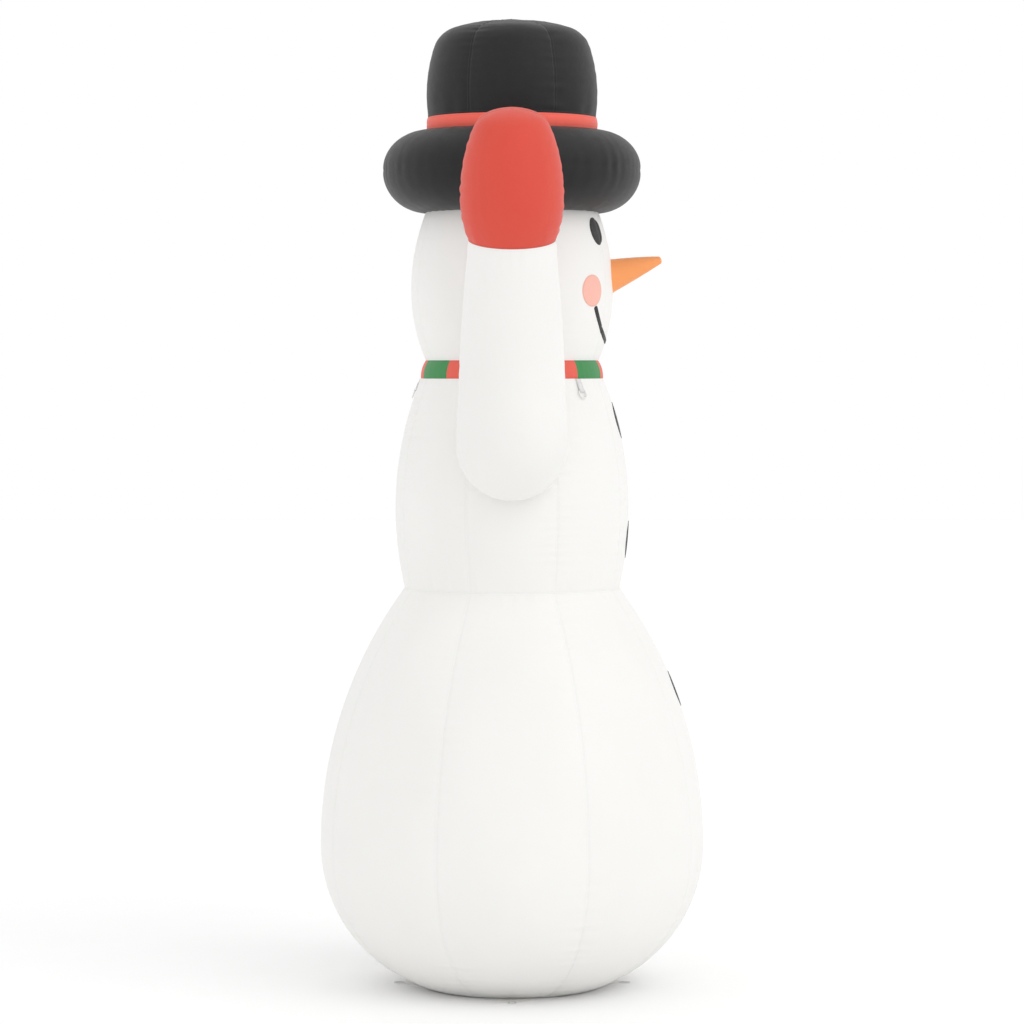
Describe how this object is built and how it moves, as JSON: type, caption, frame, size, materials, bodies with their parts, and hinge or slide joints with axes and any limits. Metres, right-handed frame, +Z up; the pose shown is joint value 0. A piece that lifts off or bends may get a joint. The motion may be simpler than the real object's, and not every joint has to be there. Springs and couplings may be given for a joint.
{
  "type": "inflatable yard snowman",
  "caption": "Tall inflatable snowman of sewn cloth gores with raised mittened arms, a hat, a striped scarf and a built-in blower, lamps, zip and guy-rope rings.",
  "frame": {"origin": "middle of the base panel's underside, on the ground", "axes": "+Z up, the snowman faces -Y, its left hand is on +X; the blower and the zip are on its left back, between +X and +Y"},
  "size_m": [2.203, 1.472, 3.7],
  "materials": {
    "white_cloth": "matte",
    "red_cloth": "matte",
    "green_cloth": "matte",
    "orange_cloth": "matte",
    "pink_cloth": "matte",
    "black_cloth": "matte",
    "webbing": "matte",
    "sandbag": "matte",
    "ring_nylon": "matte",
    "blower_plastic": "matte",
    "fan_plastic": "matte",
    "socket_plastic": "satin",
    "gasket_rubber": "matte",
    "screw_steel": "brushed",
    "motor_steel": "satin",
    "zip_tape": "matte",
    "zip_plastic": "satin",
    "zip_metal": "satin",
    "lead_rubber": "satin",
    "lamp_glass": "frosted"
  },
  "bodies": {
    "envelope": {"base_panel": "white_cloth", "anchor_flaps": "white_cloth", "anchor_loops": "webbing", "ballast_bag": "sandbag", "belly_gores": "white_cloth", "torso_gores": "white_cloth", "scarf_red": "red_cloth", "scarf_green": "green_cloth", "head_gores": "white_cloth", "nose": "orange_cloth", "eyes": "black_cloth", "cheeks": "pink_cloth", "mouth": "black_cloth", "buttons": "black_cloth", "hat_brim": "black_cloth", "hat_band": "red_cloth", "hat_crown": "black_cloth", "crown_button": "black_cloth", "left_sleeve": "white_cloth", "right_sleeve": "white_cloth", "left_mitten": "red_cloth", "right_mitten": "red_cloth", "left_thumb": "red_cloth", "right_thumb": "red_cloth", "tether_tabs": "webbing", "blower_flange": "blower_plastic", "blower_gasket": "gasket_rubber", "blower_clamp": "blower_plastic", "intake_grille": "blower_plastic", "blower_screws": "screw_steel", "blower_duct": "blower_plastic", "outlet_guard": "blower_plastic", "motor_mount": "blower_plastic", "blower_motor": "motor_steel", "power_socket": "socket_plastic", "zip_tape": "zip_tape", "zip_teeth": "zip_plastic", "zip_stops": "zip_metal", "lamp_lead": "lead_rubber", "lamp_holders": "socket_plastic", "lamp_bulbs": "lamp_glass", "lead_ties": "webbing"},
    "fan": {"blower_fan": "fan_plastic", "motor_shaft": "screw_steel"},
    "slider": {"zip_slider": "zip_metal"},
    "pull": {"zip_pull": "zip_metal"},
    "ring_front_right": {"tether_ring_front_right": "ring_nylon"},
    "ring_front_left": {"tether_ring_front_left": "ring_nylon"},
    "ring_back": {"tether_ring_back": "ring_nylon"}
  },
  "joints": [
    {"name": "fan_spin", "type": "hinge", "parent": "envelope", "child": "fan", "pos_m": [0.48063, 0.48063, 0.3562], "axis": [0.6645, 0.6645, -0.342], "continuous": true},
    {"name": "zip_run", "type": "hinge", "parent": "envelope", "child": "slider", "pos_m": [-0.65284, -0.65284, 0.545], "axis": [0.7071, -0.7071, 0], "range_deg": [0, 12.56]},
    {"name": "zip_pull_swing", "type": "hinge", "parent": "slider", "child": "pull", "pos_m": [0.52002, 0.52002, 0.71876], "axis": [0.7071, -0.7071, 0], "range_deg": [0, 150]},
    {"name": "ring_swing_front_right", "type": "hinge", "parent": "envelope", "child": "ring_front_right", "pos_m": [-0.26313, -0.26313, 2.28479], "axis": [-0.7071, 0.7071, 0], "range_deg": [0, 150]},
    {"name": "ring_swing_front_left", "type": "hinge", "parent": "envelope", "child": "ring_front_left", "pos_m": [0.26313, -0.26313, 2.28479], "axis": [-0.7071, -0.7071, 0], "range_deg": [0, 150]},
    {"name": "ring_swing_back", "type": "hinge", "parent": "envelope", "child": "ring_back", "pos_m": [0, 0.37213, 2.28479], "axis": [1, 0, 0], "range_deg": [0, 150]}
  ]
}
